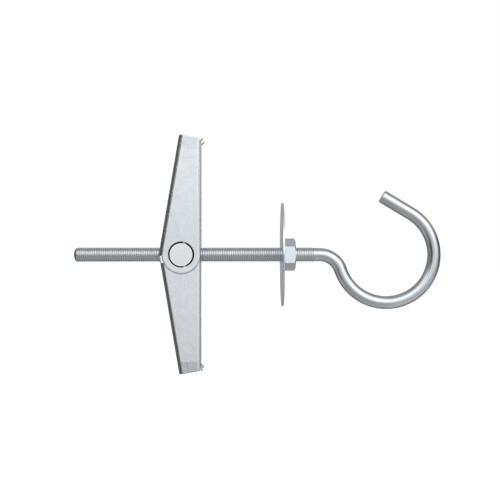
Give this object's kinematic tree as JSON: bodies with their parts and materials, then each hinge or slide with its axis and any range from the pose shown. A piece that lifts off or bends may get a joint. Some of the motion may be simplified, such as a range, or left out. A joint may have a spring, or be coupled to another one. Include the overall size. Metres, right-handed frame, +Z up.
{
  "type": "spring toggle hook",
  "caption": "Threaded round hook with spring-loaded folding channel wings on a barrel nut, a large washer and a hexagon nut, for hollow walls and ceilings.",
  "frame": {"origin": "on the rod's axis, in the plane of the washer's face that lies against the wall", "axes": "+X along the rod towards the hook, +Y away from the pictured side, +Z up, the way the hook opens"},
  "size_m": [0.1337, 0.0378, 0.0864],
  "materials": {
    "zinc_wire": "bright zinc plate",
    "zinc_turned": "bright zinc plate",
    "zinc_sheet": "satin zinc plate",
    "zinc_washer": "satin zinc plate",
    "spring_steel": "drawn spring wire"
  },
  "bodies": {
    "hook_rod": {"hook_rod": "zinc_wire"},
    "toggle": {"cross_nut": "zinc_turned", "torsion_spring": "spring_steel"},
    "outer_wing": {"outer_wing": "zinc_sheet"},
    "inner_wing": {"inner_wing": "zinc_sheet"},
    "washer": {"washer": "zinc_washer"},
    "nut": {"hex_nut": "zinc_turned"}
  },
  "joints": [
    {"name": "toggle_travel", "type": "slide", "parent": "hook_rod", "child": "toggle", "axis": [1, 0, 0], "range_m": [-0.034, 0]},
    {"name": "outer_wing_fold", "type": "hinge", "parent": "toggle", "child": "outer_wing", "pos_m": [-0.0362, 0, 0], "axis": [0, 1, 0], "range_deg": [0, 52], "stiffness_Nm_per_rad": 0.008, "springref_deg": -34.38, "deforming": ["torsion_spring"]},
    {"name": "inner_wing_fold", "type": "hinge", "parent": "toggle", "child": "inner_wing", "pos_m": [-0.0362, 0, 0], "axis": [0, -1, 0], "range_deg": [0, 52], "stiffness_Nm_per_rad": 0.008, "springref_deg": -34.38},
    {"name": "washer_travel", "type": "slide", "parent": "hook_rod", "child": "washer", "axis": [1, 0, 0], "range_m": [0, 0.006]},
    {"name": "nut_turn", "type": "hinge", "parent": "washer", "child": "nut", "pos_m": [0, 0, 0], "axis": [1, 0, 0], "range_deg": [0, 2700]}
  ],
  "couplings": [
    {"joint": "nut_turn", "follows": "washer_travel", "rad_per_m": 7854}
  ]
}
